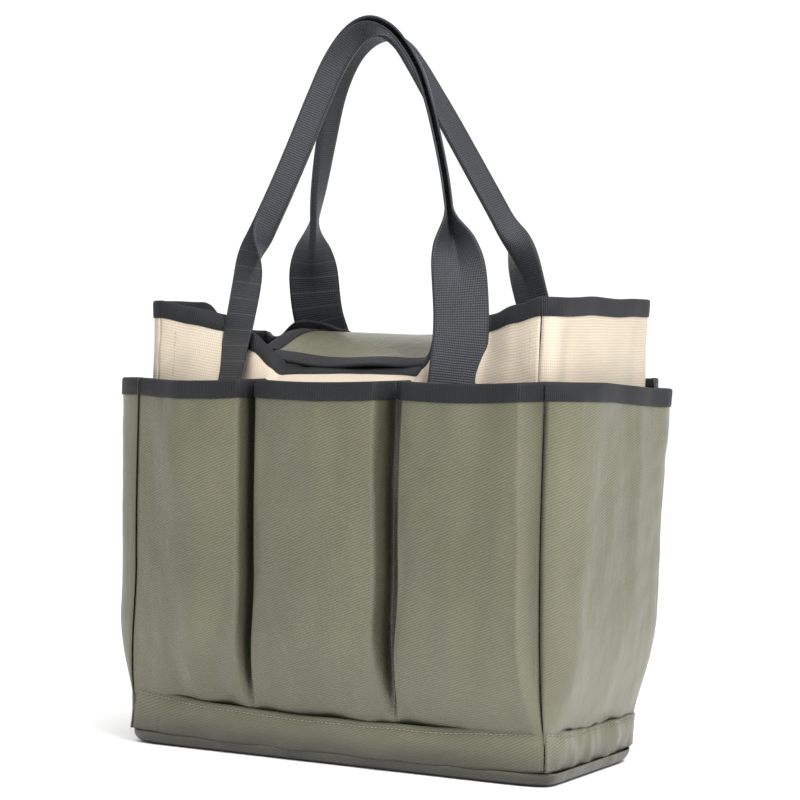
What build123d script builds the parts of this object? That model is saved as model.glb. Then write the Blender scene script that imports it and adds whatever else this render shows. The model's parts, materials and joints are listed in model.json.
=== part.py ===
from build123d import *
import math
import os

# Garden tool bag, millimetres. +Z is up, the front faces -Y, and the origin is
# the middle of the underside.

# Overall sizes
HALF_WIDTH = 168.0          # outside of the gussets
HALF_DEPTH_FOOT = 62.0      # front and back panels at the floor
HALF_DEPTH = 75.0           # front and back panels from mid height up
PANEL_END = 157.0           # where a gusset is sewn to the front and back panels
BODY_TOP = 328.0            # height of the rim at the four corners
CLOTH = 1.2                 # thickness of one coated cloth layer
GAP = 0.3                   # clearance between layers that lie on each other

# Base
SEAM_Z = 8.0                # seam between the bottom panel and the base band
BAND_TOP = 34.0             # top edge of the base band
BOTTOM_CORNER = 14.0        # corner radius of the bottom panel in plan
BOTTOM_ROUND = 6.0          # rounding of its lower edge
BOARD = (308.0, 112.0, 2.0)  # stiffener board: width, depth, thickness

# Pockets
POCKET_FOOT = BAND_TOP + 0.6
POCKET_TOP = 272.0
POCKET_CORNER = 167.0       # half width of the front pocket panel
STITCH_X = 60.0             # stitch lines between the three pockets
FRONT_BULGE = 17.0          # how far a front pocket stands out at its mouth
SIDE_BULGE = 24.0

# Binding tape
TAPE = 12.0                 # visible width of the folded tape
TAPE_SKIN = 0.8             # thickness of one tape layer

# Handles
STRAP_X = 92.0              # middle of each handle end
STRAP_WIDTH = 38.0
STRAP_THICK = 1.8
FOLDED_WIDTH = 19.0         # the grip is folded in half lengthwise
FOLDED_THICK = 4.2
LEG_FOOT_Z = 222.0          # lower end of the sewn handle ends
LEG_TOP_Z = 306.0           # upper end of the sewn handle ends
HINGE_Z = 316.0             # where the free handle starts to bend
FOOT_Z = 317.6              # lowest line of the free handle
STRAP_STAND_OFF = 4.6       # middle of a handle end, outside the panel
APEX = (-11.0, 10.5, 529.0)  # top of a loop: x, distance from the middle plane, z

# Flap
FLAP_HALF_WIDTH = 86.0
FLAP_BACK = (22.6, 305.2)   # y, z of the line the flap turns about
FLAP_THICK = 1.2


def face_of(outer, inner):
    """Closed face between two rows of points, each row smoothed to a curve."""
    edges = [
        Spline(*outer),
        Line(outer[-1], inner[-1]),
        Spline(*reversed(inner)),
        Line(inner[0], outer[0]),
    ]
    return make_face(edges)


def offset_row(row, distance):
    """A row of (a, b) points moved sideways, to the left of its direction."""
    moved = []
    for i, point in enumerate(row):
        before = row[max(i - 1, 0)]
        after = row[min(i + 1, len(row) - 1)]
        da = after[0] - before[0]
        db = after[1] - before[1]
        length = math.hypot(da, db)
        moved.append((point[0] - db / length * distance, point[1] + da / length * distance))
    return moved


def plan_strip(row, z, inward, skin=0.0):
    """Face in the plane z: a wall whose outside follows row."""
    outer = offset_row(row, -skin)
    inner = offset_row(row, inward + skin)
    return face_of([(x, y, z) for x, y in outer], [(x, y, z) for x, y in inner])


def depth_at(z):
    """Half depth of the body at height z: the sides spread above the floor."""
    rise = min(z / 200.0, 1.0)
    return HALF_DEPTH_FOOT + (HALF_DEPTH - HALF_DEPTH_FOOT) * math.sin(rise * math.pi / 2)


def swell_at(z):
    """0 at the base band and 1 at the pocket mouths."""
    rise = max((z - BAND_TOP) / (POCKET_TOP - BAND_TOP), 0.0)
    return math.sin(min(rise, 1.0) * math.pi / 2)


# Half of each rim: x, then distance from the middle plane, height, and the
# height where the panel starts to lean in. The middle of the front panel is
# folded in to a shelf, and the rim is pulled in where the handles are sewn on.
FRONT_RIM = [
    (0.0, 33.0, 282.0, 264.0),
    (38.0, 36.0, 282.0, 264.0),
    (60.0, 54.0, 286.0, 262.0),
    (75.0, 66.0, 303.5, 240.0),
    (92.0, 57.0, 311.0, 215.0),
    (109.0, 48.5, 316.0, 215.0),
    (134.0, 64.0, 323.0, 235.0),
    (PANEL_END, HALF_DEPTH, BODY_TOP, 250.0),
]
BACK_RIM = [
    (0.0, 25.0, 304.0, 240.0),
    (38.0, 27.0, 304.0, 240.0),
    (60.0, 38.0, 304.5, 240.0),
    (75.0, 47.5, 307.0, 235.0),
    (92.0, 40.0, 313.0, 225.0),
    (109.0, 33.5, 318.0, 225.0),
    (134.0, 54.0, 324.0, 240.0),
    (PANEL_END, HALF_DEPTH, BODY_TOP, 250.0),
]


def panel_profile(rim_point):
    """Outline (distance from the middle plane, z) of a panel at one x, bottom to rim."""
    x, rim_y, rim_z, lean_z = rim_point
    bow = 5.0 * max(0.0, 1.0 - x / PANEL_END)
    low = [(depth_at(z) + bow * z / lean_z, z) for z in (SEAM_Z + 0.3, 70.0, 140.0, lean_z - 32.0)]
    shoulder = (depth_at(lean_z) + bow, lean_z)
    knee = (shoulder[0] * 0.62 + rim_y * 0.38, lean_z * 0.45 + rim_z * 0.55)
    run = math.hypot(rim_y - knee[0], rim_z - knee[1])
    share = min(TAPE / run, 0.8)
    tape_foot = (rim_y + (knee[0] - rim_y) * share, rim_z + (knee[1] - rim_z) * share)
    return low + [shoulder, knee, tape_foot, (rim_y, rim_z)]


def mirrored_stations(rim):
    """Rim stations from the left end to the right end."""
    left = [(-x, y, z, lean) for x, y, z, lean in reversed(rim[1:])]
    return left + rim


def side_face(x, row, side, skin_out, skin_in):
    """Face in the plane x of a panel whose outside follows row of (distance, z)."""
    outer = offset_row(row, -skin_out)
    inner = offset_row(row, skin_in)
    return face_of([(x, side * y, z) for y, z in outer], [(x, side * y, z) for y, z in inner])


def upright_panel(rim, side):
    """Front or back panel with its folded rim."""
    faces = []
    for x, rim_y, rim_z, lean in mirrored_stations(rim):
        row = panel_profile((abs(x), rim_y, rim_z, lean))
        faces.append(side_face(x, row, side, 0.0, CLOTH))
    return loft(faces, ruled=True)


def upright_rim_tape(rim, side, panel):
    """Tape folded over the top edge of the front or back panel."""
    faces = []
    for x, rim_y, rim_z, lean in mirrored_stations(rim):
        foot, top = panel_profile((abs(x), rim_y, rim_z, lean))[-2:]
        length = math.dist(foot, top)
        over = TAPE_SKIN / length
        crest = (top[0] + (top[0] - foot[0]) * over, top[1] + (top[1] - foot[1]) * over)
        middle = ((foot[0] + crest[0]) / 2, (foot[1] + crest[1]) / 2)
        faces.append(side_face(x, [foot, middle, crest], side, TAPE_SKIN, CLOTH + TAPE_SKIN))
    return loft(faces, ruled=True) - panel


def gusset_row(z):
    """Plan outline of the right gusset, front to back, with rounded corners."""
    d = depth_at(z)
    half = [
        (PANEL_END + 0.8, d),
        (PANEL_END + 7.0, d - 2.5),
        (HALF_WIDTH - 0.4, d - 11.0),
        (HALF_WIDTH, d - 35.0),
    ]
    front = [(x, -y) for x, y in half]
    return front + [(HALF_WIDTH, 0.0)] + [(x, y) for x, y in reversed(half)]


def pocket_row(z):
    """Plan outline of the front pocket panel, left to right: three swollen pockets."""
    d = depth_at(z)
    corner = d + 3.4
    bow = 5.0 * (1.0 - STITCH_X / PANEL_END) * min(z / 240.0, 1.0)
    seam = d + bow + CLOTH + 1.6
    swell = FRONT_BULGE * swell_at(z)
    outer_pocket = [
        (POCKET_CORNER, corner),
        (POCKET_CORNER - 8.0, corner + 0.60 * swell),
        (POCKET_CORNER - 28.0, corner + 0.95 * swell),
        ((POCKET_CORNER + STITCH_X) / 2, corner + 1.05 * swell),
        (STITCH_X + 22.0, corner + 0.95 * swell),
        (STITCH_X + 8.0, seam + 0.65 * swell),
    ]
    middle_pocket = [
        (STITCH_X, seam),
        (STITCH_X - 8.0, seam + 0.62 * swell),
        (STITCH_X - 22.0, seam + swell),
        (0.0, seam + 1.10 * swell),
    ]
    right = outer_pocket + middle_pocket
    left_side = [(-x, -y) for x, y in right[:-1]]
    right_side = [(x, -y) for x, y in reversed(right)]
    return left_side + right_side


def side_pocket_row(z):
    """Plan outline of the right side pocket, front to back."""
    end = depth_at(z) + 3.0
    swell = SIDE_BULGE * swell_at(z)
    base = HALF_WIDTH + CLOTH + 2 * GAP
    half = [
        (POCKET_CORNER + 1.6, end),
        (base + 0.55 * swell, end - 6.0),
        (base + 0.92 * swell, end - 17.0),
        (base + swell, end - 40.0),
    ]
    front = [(x, -y) for x, y in half]
    return front + [(base + 1.02 * swell, 0.0)] + [(x, y) for x, y in reversed(half)]


def wall(row_at, heights, skin=0.0):
    """A wall lofted upwards through plan outlines."""
    return loft([plan_strip(row_at(z), z, CLOTH, skin) for z in heights])


def wall_tape(row_at, top, panel):
    """Tape folded over the top edge of a lofted wall."""
    heights = (top - TAPE, top - TAPE / 2, top + TAPE_SKIN)
    return wall(row_at, heights, TAPE_SKIN) - panel


def band_row(z):
    """Plan outline of the front base band."""
    d = depth_at(z) + CLOTH + GAP + 0.6
    end = HALF_WIDTH - 1.0
    return [(-end, -d), (-end / 2, -d - 1.0), (0.0, -d - 1.4), (end / 2, -d - 1.0), (end, -d)]


def side_band_row(z):
    """Plan outline of the right base band."""
    d = depth_at(z) + 1.0
    x = HALF_WIDTH + CLOTH + GAP
    return [(x, -d), (x + 1.2, -d / 2), (x + 1.6, 0.0), (x + 1.2, d / 2), (x, d)]


def turn_about_z(solid):
    """The same piece on the opposite side of the bag."""
    return solid.rotate(Axis.Z, 180)


def strap_section(centre, across, outward, width, thick):
    """Rectangle across a strap: width along across, thickness along outward."""
    plane = Plane(origin=centre, x_dir=across, z_dir=Vector(*across).cross(Vector(*outward)))
    return plane * Rectangle(width, thick)


def distance_at(rim_point, z):
    """Distance of a panel's outside from the middle plane at height z."""
    row = panel_profile(rim_point)
    for (y0, z0), (y1, z1) in zip(row, row[1:]):
        if z <= z1:
            return y0 + (y1 - y0) * (z - z0) / (z1 - z0)
    return row[-1][0]


def strap_line(rim, z):
    """Where a sewn handle end lies at height z: distance from the middle plane, and turn."""
    inner = distance_at(rim[3], z)
    outer = distance_at(rim[5], z)
    turn = math.atan2(inner - outer, rim[5][0] - rim[3][0])
    crown = max((inner + outer) / 2, distance_at(rim[4], z))
    return crown + STRAP_STAND_OFF, turn


def legs(side, rim):
    """The two sewn ends of one handle, flat on the outside of a panel."""
    solids = []
    for hand in (-1, 1):
        faces = []
        for z in (LEG_FOOT_Z, 240.0, 262.0, 285.0, LEG_TOP_Z):
            y, turn = strap_line(rim, z)
            across = (math.cos(turn), -side * hand * math.sin(turn), 0)
            outward = (side * hand * math.sin(turn), math.cos(turn), 0)
            faces.append(strap_section((hand * STRAP_X, side * y, z), across, outward,
                                       STRAP_WIDTH, STRAP_THICK))
        solids.append(loft(faces, ruled=True))
    return Compound(children=solids)


def handle(side, foot_y, pinch_left, pinch_right, turns):
    """One handle loop: flat feet, then folded in half up to the top of the loop."""
    foot_left = (-STRAP_X, foot_y, FOOT_Z)
    foot_right = (STRAP_X, foot_y, FOOT_Z)
    top_x, top_y, top_z = APEX
    top_y = side * top_y
    crown = 13.0
    stations = [
        (foot_left, STRAP_WIDTH, STRAP_THICK),
        (blend(foot_left, pinch_left, 0.55), 36.0, STRAP_THICK),
        (pinch_left, FOLDED_WIDTH + 2.0, FOLDED_THICK),
        (blend(pinch_left, (top_x - crown, top_y, top_z - 20.0), 0.30), FOLDED_WIDTH, FOLDED_THICK),
        (blend(pinch_left, (top_x - crown, top_y, top_z - 20.0), 0.65), FOLDED_WIDTH, FOLDED_THICK),
        ((top_x - crown, top_y, top_z - 20.0), FOLDED_WIDTH, FOLDED_THICK),
        ((top_x, top_y, top_z), FOLDED_WIDTH, FOLDED_THICK),
        ((top_x + crown, top_y, top_z - 20.0), FOLDED_WIDTH, FOLDED_THICK),
        (blend((top_x + crown, top_y, top_z - 20.0), pinch_right, 0.35), FOLDED_WIDTH, FOLDED_THICK),
        (blend((top_x + crown, top_y, top_z - 20.0), pinch_right, 0.70), FOLDED_WIDTH, FOLDED_THICK),
        (pinch_right, FOLDED_WIDTH + 2.0, FOLDED_THICK),
        (blend(pinch_right, foot_right, 0.45), 36.0, STRAP_THICK),
        (foot_right, STRAP_WIDTH, STRAP_THICK),
    ]
    centres = [Vector(*point) for point, _, _ in stations]
    faces = []
    for i, (point, width, thick) in enumerate(stations):
        before = centres[max(i - 1, 0)]
        after = centres[min(i + 1, len(centres) - 1)]
        along = (after - before).normalized()
        if i in (0, len(stations) - 1):
            along = Vector(0, 0, 1 if i == 0 else -1)
        angle = math.radians(turns[i])
        across = Vector(math.cos(angle), math.sin(angle), 0)
        across = (across - along * across.dot(along)).normalized()
        plane = Plane(origin=point, x_dir=across, z_dir=along)
        faces.append(plane * Rectangle(width, thick))
    return loft(faces)


def blend(a, b, share):
    """Point part of the way from a to b."""
    return tuple(p + (q - p) * share for p, q in zip(a, b))


def flap_row():
    """Side outline (y, z) of the flap, from its fold to its front edge."""
    y0, z0 = FLAP_BACK
    return [(y0, z0), (y0 - 16.0, z0 - 1.0), (y0 - 34.0, z0 - 6.0),
            (y0 - 50.0, z0 - 13.4), (y0 - 62.0, z0 - 18.4)]


def flap_stations(narrow):
    """Sections of the flap across its width, its corners drooping a little."""
    reach = FLAP_HALF_WIDTH - narrow
    faces = []
    for share in (-1.0, -0.6, 0.0, 0.6, 1.0):
        row = [(y, z - 1.2 * abs(share) ** 3) for y, z in flap_row()]
        faces.append((share * reach, row))
    return faces


def flap_cloth():
    """The flap without its tape."""
    faces = []
    for x, row in flap_stations(TAPE_SKIN):
        lower = offset_row(row, FLAP_THICK)
        faces.append(face_of([(x, y, z) for y, z in row], [(x, y, z) for y, z in lower]))
    return loft(faces)


def flap_tape(cloth):
    """Tape round the two short edges and the front edge of the flap."""
    faces = []
    for x, row in flap_stations(0.0):
        end = row[-1]
        row = row[:-1] + [(end[0] - TAPE_SKIN, end[1] - 0.3)]
        upper = offset_row(row, -TAPE_SKIN)
        lower = offset_row(row, FLAP_THICK + TAPE_SKIN)
        faces.append(face_of([(x, y, z) for y, z in upper], [(x, y, z) for y, z in lower]))
    whole = loft(faces)
    back_y = FLAP_BACK[0]
    front_y = back_y - 62.0
    window = Box(2 * (FLAP_HALF_WIDTH - TAPE), back_y - front_y + 20.0 - TAPE, 60.0)
    window_y = front_y + TAPE + (back_y - front_y + 20.0 - TAPE) / 2
    window = window.translate((0, window_y, FLAP_BACK[1] - 5.0))
    heel = Box(400.0, 10.0, 20.0).translate((0, back_y + 2.6, FLAP_BACK[1]))
    return whole - window - heel - cloth


def bottom_tray():
    """Bottom panel: flat underside with a rounded edge up to the seam."""
    width = 2 * HALF_WIDTH
    depth = 2 * depth_at(SEAM_Z) + 2 * CLOTH
    outer = extrude(RectangleRounded(width, depth, BOTTOM_CORNER), SEAM_Z)
    outer = fillet(outer.edges().group_by(Axis.Z)[0], BOTTOM_ROUND)
    inner = extrude(RectangleRounded(width - 4.4, depth - 4.4, BOTTOM_CORNER - 2.2), SEAM_Z)
    inner = fillet(inner.edges().group_by(Axis.Z)[0], BOTTOM_ROUND - 2.0)
    return outer - inner.translate((0, 0, CLOTH + 0.3))


def seam_tapes():
    """Tape over the four upright seams inside the body."""
    solids = []
    for side in (-1, 1):
        for hand in (-1, 1):
            faces = []
            for z in (SEAM_Z + 6.0, 110.0, 210.0, BODY_TOP - TAPE - 8.0):
                y = side * (depth_at(z) - CLOTH - 4.6)
                plane = Plane(origin=(hand * (PANEL_END - 1.5), y, z), x_dir=(1, 0, 0), z_dir=(0, 0, 1))
                faces.append(plane * Rectangle(1.6, 6.0))
            solids.append(loft(faces))
    return Compound(children=solids)


def save(name, shape):
    """One STEP file for one piece."""
    export_step(shape, "parts/" + name + ".step")


def build():
    """Make and save every piece of the bag."""
    os.makedirs("parts", exist_ok=True)

    front_panel = upright_panel(FRONT_RIM, -1)
    back_panel = upright_panel(BACK_RIM, 1)
    gusset_heights = (SEAM_Z + 0.3, 70.0, 150.0, 235.0, BODY_TOP)
    right_gusset = wall(gusset_row, gusset_heights)
    save("front_panel", front_panel)
    save("back_panel", back_panel)
    save("right_gusset", right_gusset)
    save("left_gusset", turn_about_z(right_gusset))

    gusset_tape = wall_tape(gusset_row, BODY_TOP, right_gusset)
    rim_tapes = [
        upright_rim_tape(FRONT_RIM, -1, front_panel),
        upright_rim_tape(BACK_RIM, 1, back_panel),
        gusset_tape,
        turn_about_z(gusset_tape),
    ]
    save("rim_binding", Compound(children=rim_tapes))
    save("inner_seam_tapes", seam_tapes())

    pocket_heights = (POCKET_FOOT, 80.0, 140.0, 205.0, POCKET_TOP)
    front_pockets = wall(pocket_row, pocket_heights)
    right_pocket = wall(side_pocket_row, pocket_heights)
    save("front_pocket_panel", front_pockets)
    save("back_pocket_panel", turn_about_z(front_pockets))
    save("right_side_pocket", right_pocket)
    save("left_side_pocket", turn_about_z(right_pocket))

    front_tape = wall_tape(pocket_row, POCKET_TOP, front_pockets)
    right_tape = wall_tape(side_pocket_row, POCKET_TOP, right_pocket)
    save("front_pocket_binding", front_tape)
    save("back_pocket_binding", turn_about_z(front_tape))
    save("right_pocket_binding", right_tape)
    save("left_pocket_binding", turn_about_z(right_tape))

    band_heights = (SEAM_Z + 0.3, BAND_TOP)
    front_band = wall(band_row, band_heights)
    right_band = wall(side_band_row, band_heights)
    save("front_base_band", front_band)
    save("back_base_band", turn_about_z(front_band))
    save("right_base_band", right_band)
    save("left_base_band", turn_about_z(right_band))
    save("bottom_panel", bottom_tray())
    board_z = CLOTH + 0.3 + GAP + BOARD[2] / 2
    save("base_board", Box(*BOARD).translate((0, 0, board_z)))

    save("front_handle_ends", legs(-1, FRONT_RIM))
    save("back_handle_ends", legs(1, BACK_RIM))
    front_turns = (25, 25, 28, 32, 50, 75, 90, 100, 112, 122, 135, 153, 155)
    back_turns = (-25, -25, -20, 0, 40, 75, 90, 105, 140, 170, 195, 205, 205)
    front_foot = -strap_line(FRONT_RIM, LEG_TOP_Z)[0]
    back_foot = strap_line(BACK_RIM, LEG_TOP_Z)[0]
    save("front_handle", handle(-1, front_foot, (-75, -50, 378), (75, -50, 382), front_turns))
    save("back_handle", handle(1, back_foot, (-86, 33, 380), (79, 35, 374), back_turns))
    print("handle hinges at y", round(front_foot, 1), round(back_foot, 1), "z", HINGE_Z)

    cloth = flap_cloth()
    save("flap", cloth)
    save("flap_binding", flap_tape(cloth))


build()
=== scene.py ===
import json
import math

import bpy
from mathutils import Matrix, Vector, noise

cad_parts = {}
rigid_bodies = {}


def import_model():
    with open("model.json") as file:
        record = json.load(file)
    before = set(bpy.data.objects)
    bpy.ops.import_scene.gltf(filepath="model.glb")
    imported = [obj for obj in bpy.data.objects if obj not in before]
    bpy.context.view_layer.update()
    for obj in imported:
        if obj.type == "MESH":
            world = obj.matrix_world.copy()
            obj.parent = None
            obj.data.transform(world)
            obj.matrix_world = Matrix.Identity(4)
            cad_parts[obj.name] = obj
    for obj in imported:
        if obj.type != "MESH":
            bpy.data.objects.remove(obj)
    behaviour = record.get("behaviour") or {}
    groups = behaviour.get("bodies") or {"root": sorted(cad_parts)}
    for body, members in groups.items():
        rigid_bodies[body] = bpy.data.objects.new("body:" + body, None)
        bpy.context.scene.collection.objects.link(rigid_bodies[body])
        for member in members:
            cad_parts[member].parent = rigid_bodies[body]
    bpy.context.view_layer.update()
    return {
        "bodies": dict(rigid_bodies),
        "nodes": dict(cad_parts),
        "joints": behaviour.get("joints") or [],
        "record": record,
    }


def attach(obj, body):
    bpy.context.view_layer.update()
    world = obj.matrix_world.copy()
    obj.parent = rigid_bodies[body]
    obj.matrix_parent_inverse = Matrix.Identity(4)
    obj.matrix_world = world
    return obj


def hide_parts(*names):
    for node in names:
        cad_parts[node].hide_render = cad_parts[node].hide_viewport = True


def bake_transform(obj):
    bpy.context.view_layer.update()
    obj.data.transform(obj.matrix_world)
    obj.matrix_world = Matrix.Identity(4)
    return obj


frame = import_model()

# Garden tool bag. The front faces -Y and the origin is on the ground under its middle. Shapes are worked
# out in millimetres and made in metres. In what follows side is -1 for the front and 1 for the back, and
# hand is 1 for the right end and -1 for the left end.
MM = 0.001

# ---------------------------------------------------------------- sizes, in mm
HALF_WIDTH = 168.0
PANEL_END = 157.0
BODY_TOP = 328.0
FOOT_DEPTH = 62.0
FULL_DEPTH = 75.0
POCKET_FOOT = 30.0
POCKET_TOP = 272.0
POCKET_CORNER = 167.0
STITCH_X = 60.0
FRONT_BULGE = 20.0
END_BULGE = {1: 21.0, -1: 31.0}
CORNER_LIFT = 7.0
PANEL_FOOT = 8.0
BASE_SEAM = 35.0
POCKET_GAP = 2.4
TAPE = 12.0
WEBBING = 38.0
WEBBING_THICK = 1.5
CLOTH = 0.9
BAND_CLOTH = 1.3
BOTTOM_CLOTH = 1.0
SEAM_TAPE_CLOTH = 0.6

# How the whole bag leans to its right, slumps to its left at the foot, and sinks at its back left rim.
LEAN = 6.0
LEAN_HEIGHT = 150.0
SLUMP = 9.0
FOOT_SLUMP = 4.0
RIM_FORWARD = 15.0
RIM_DROP = 22.0


def clamp(t):
    return min(max(t, 0.0), 1.0)


def smooth(t):
    """0 to 1 with flat ends."""
    t = clamp(t)
    return t * t * (3.0 - 2.0 * t)


def mix(a, b, t):
    return a + (b - a) * t


def ripple(x, y, z, size, seed):
    """Smooth noise from -1 to 1 over lengths of about size millimetres."""
    return noise.noise(Vector((x / size + seed, y / size - seed, z / size + 2.0 * seed)))


def depth_at(z):
    """Half depth of the body at height z."""
    return FOOT_DEPTH + (FULL_DEPTH - FOOT_DEPTH) * math.sin(clamp(z / 200.0) * math.pi / 2)


def leant(point):
    """Where a point of the upright bag stands once the bag has leaned and slumped."""
    x, y, z = point
    slump = SLUMP * smooth((140.0 - z) / 110.0) + FOOT_SLUMP * smooth((30.0 - z) / 30.0)
    slump *= smooth((158.0 - x) / 90.0)
    lean = LEAN * (z - LEAN_HEIGHT) / LEAN_HEIGHT
    fallen = smooth((-95.0 - x) / 40.0) * smooth((y + 10.0) / 60.0) * smooth((z - 275.0) / 50.0)
    return Vector((x + lean - slump, y - RIM_FORWARD * fallen, z - RIM_DROP * fallen))


def along(stations, x):
    """Values at x from rows that start with their own x, smoothly joined."""
    if x <= stations[0][0]:
        return stations[0][1:]
    for low, high in zip(stations, stations[1:]):
        if x <= high[0]:
            t = (x - low[0]) / (high[0] - low[0])
            t = mix(t, smooth(t), 0.6)
            return tuple(mix(a, b, t) for a, b in zip(low[1:], high[1:]))
    return stations[-1][1:]


# ------------------------------------------------------------------- meshes
def new_object(name, verts, faces):
    mesh = bpy.data.meshes.new(name)
    mesh.from_pydata([tuple(v) for v in verts], [], faces)
    mesh.update()
    obj = bpy.data.objects.new(name, mesh)
    bpy.context.scene.collection.objects.link(obj)
    return obj


def running_length(points):
    """Length of the line so far, at each of its points."""
    lengths = [0.0]
    for a, b in zip(points, points[1:]):
        lengths.append(lengths[-1] + (b - a).length)
    return lengths


def grid_object(name, rows, thickness=0.0, closed=False, offset=-1.0, lean=True):
    """A sheet through rows of points in mm, with its flat size as UVs in metres."""
    across = len(rows[0])
    verts = [(leant(p) if lean else Vector(p)) * MM for row in rows for p in row]
    faces = []
    last = across if closed else across - 1
    for j in range(len(rows) - 1):
        for i in range(last):
            k = (i + 1) % across
            faces.append((j * across + i, j * across + k, (j + 1) * across + k, (j + 1) * across + i))
    obj = new_object(name, verts, faces)
    mesh = obj.data

    middle_row = len(rows) // 2 * across
    u_at = running_length([verts[middle_row + i % across] for i in range(last + 1)])
    v_at = running_length([verts[j * across + across // 2] for j in range(len(rows))])
    layer = mesh.uv_layers.new(name="UVMap")
    n = 0
    for j in range(len(rows) - 1):
        for i in range(last):
            for a, b in ((i, j), (i + 1, j), (i + 1, j + 1), (i, j + 1)):
                layer.data[n].uv = (u_at[a], v_at[b])
                n += 1
    mesh.polygons.foreach_set("use_smooth", [True] * len(mesh.polygons))
    if thickness:
        solid = obj.modifiers.new("Thickness", "SOLIDIFY")
        solid.thickness = thickness * MM
        solid.offset = offset
        solid.use_quality_normals = True
    return obj


def turned(row, turn):
    """The row, from its other end if turn is true, so that the sheet's face looks outward."""
    return list(reversed(row)) if turn else row


def row_normals(rows):
    """Unit normals of a grid of points."""
    normals = []
    for j, row in enumerate(rows):
        line = []
        for i in range(len(row)):
            left, right = row[max(i - 1, 0)], row[min(i + 1, len(row) - 1)]
            low, high = rows[max(j - 1, 0)][i], rows[min(j + 1, len(rows) - 1)][i]
            line.append((right - left).cross(high - low).normalized())
        normals.append(line)
    return normals


def place(piece, body, nodes, material):
    """Dress a piece, hang it on its body and hide the plain solids it stands for."""
    piece.data.materials.append(material)
    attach(piece, body)
    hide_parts(*nodes)


# ---------------------------------------------------------------- materials
# How far the shade painted into the colour inside folds reaches, in metres, how sharply, how fully, and the
# painted shade's colour.
FOLD_SHADE_REACH = 0.034
FOLD_SHADE_POWER = 1.9
FOLD_SHADE_SHARE = 0.92
PAINTED_FOLD_SHADE = (0.004, 0.004, 0.003)
# Directions across the twill's ribs and across its finer threads.
TWILL_SLANT = (-0.36, 0.93)
THREAD_SLANT = (0.88, 0.47)
# The webbing's woven lines fade out this far along the strap from its sewn ends, in metres.
LINES_REACH = 0.185


class Nodes:
    """Short ways to add and join shader nodes."""

    def __init__(self, name):
        self.material = bpy.data.materials.new(name)
        self.material.use_nodes = True
        self.tree = self.material.node_tree
        self.shader = self.tree.nodes["Principled BSDF"]
        self.uv = self.add("ShaderNodeTexCoord").outputs["UV"]
        self.place = self.add("ShaderNodeTexCoord").outputs["Object"]

    def add(self, kind, **values):
        node = self.tree.nodes.new(kind)
        for key, value in values.items():
            setattr(node, key, value)
        return node

    def link(self, out, socket):
        self.tree.links.new(out, socket)

    def math(self, operation, a, b=None, clamp=False):
        node = self.add("ShaderNodeMath", operation=operation, use_clamp=clamp)
        for socket, value in zip(node.inputs, (a, b)):
            if value is None:
                continue
            if isinstance(value, (int, float)):
                socket.default_value = value
            else:
                self.link(value, socket)
        return node.outputs[0]

    def split_uv(self):
        node = self.add("ShaderNodeSeparateXYZ")
        self.link(self.uv, node.inputs[0])
        return node.outputs[0], node.outputs[1]

    def slanted(self, u, v, slant):
        """Distance across lines that run at a slant over the cloth."""
        return self.math("ADD", self.math("MULTIPLY", u, slant[0]), self.math("MULTIPLY", v, slant[1]))

    def wave(self, value, pitch):
        """0 to 1 ridges across value, one every pitch metres."""
        turned = self.math("MULTIPLY", value, 2 * math.pi / pitch)
        half = self.math("MULTIPLY", self.math("SINE", turned), 0.5)
        return self.math("ADD", half, 0.5)

    def noise(self, scale, detail=3.0, vector=None):
        node = self.add("ShaderNodeTexNoise")
        node.inputs["Scale"].default_value = scale
        node.inputs["Detail"].default_value = detail
        self.link(vector or self.place, node.inputs["Vector"])
        return node.outputs["Fac"]

    def ramp(self, value, stops):
        node = self.add("ShaderNodeValToRGB")
        self.link(value, node.inputs[0])
        while len(node.color_ramp.elements) < len(stops):
            node.color_ramp.elements.new(0.5)
        for element, (position, colour) in zip(node.color_ramp.elements, stops):
            element.position = position
            element.color = (*colour, 1.0)
        return node.outputs[0]

    def mix_colour(self, share, a, b, mode="MIX"):
        node = self.add("ShaderNodeMix", data_type="RGBA", blend_type=mode)
        for socket, value in ((node.inputs[0], share), (node.inputs[6], a), (node.inputs[7], b)):
            if isinstance(value, (int, float)):
                socket.default_value = value
            elif isinstance(value, tuple):
                socket.default_value = (*value, 1.0)
            else:
                self.link(value, socket)
        return node.outputs[2]

    def paint_fold_shade(self, colour, distance):
        """Painted shade: the colour darkened inside tight folds, within distance metres of the facing cloth,
        by an ambient occlusion node.
        """
        node = self.add("ShaderNodeAmbientOcclusion", samples=8)
        node.inputs["Distance"].default_value = distance
        openness = self.math("POWER", node.outputs["AO"], FOLD_SHADE_POWER)
        share = self.math("MULTIPLY", self.math("SUBTRACT", 1.0, openness), FOLD_SHADE_SHARE)
        return self.mix_colour(share, colour, PAINTED_FOLD_SHADE)

    def surface(self, colour, weave, roughness, swing, sheen, sheen_roughness, gloss):
        """Colour and shine; the ridges of the weave are smoother than its gaps by swing."""
        self.link(colour, self.shader.inputs["Base Color"])
        rough = self.math("MULTIPLY_ADD", weave, -swing)
        rough.node.inputs[2].default_value = roughness + swing / 2
        self.link(rough, self.shader.inputs["Roughness"])
        self.shader.inputs["Sheen Weight"].default_value = sheen
        self.shader.inputs["Sheen Roughness"].default_value = sheen_roughness
        self.shader.inputs["Specular IOR Level"].default_value = gloss

    def bump(self, height, strength, distance, under=None):
        node = self.add("ShaderNodeBump")
        node.inputs["Strength"].default_value = strength
        node.inputs["Distance"].default_value = distance
        self.link(height, node.inputs["Height"])
        if under is not None:
            self.link(under, node.inputs["Normal"])
        return node.outputs[0]


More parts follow.
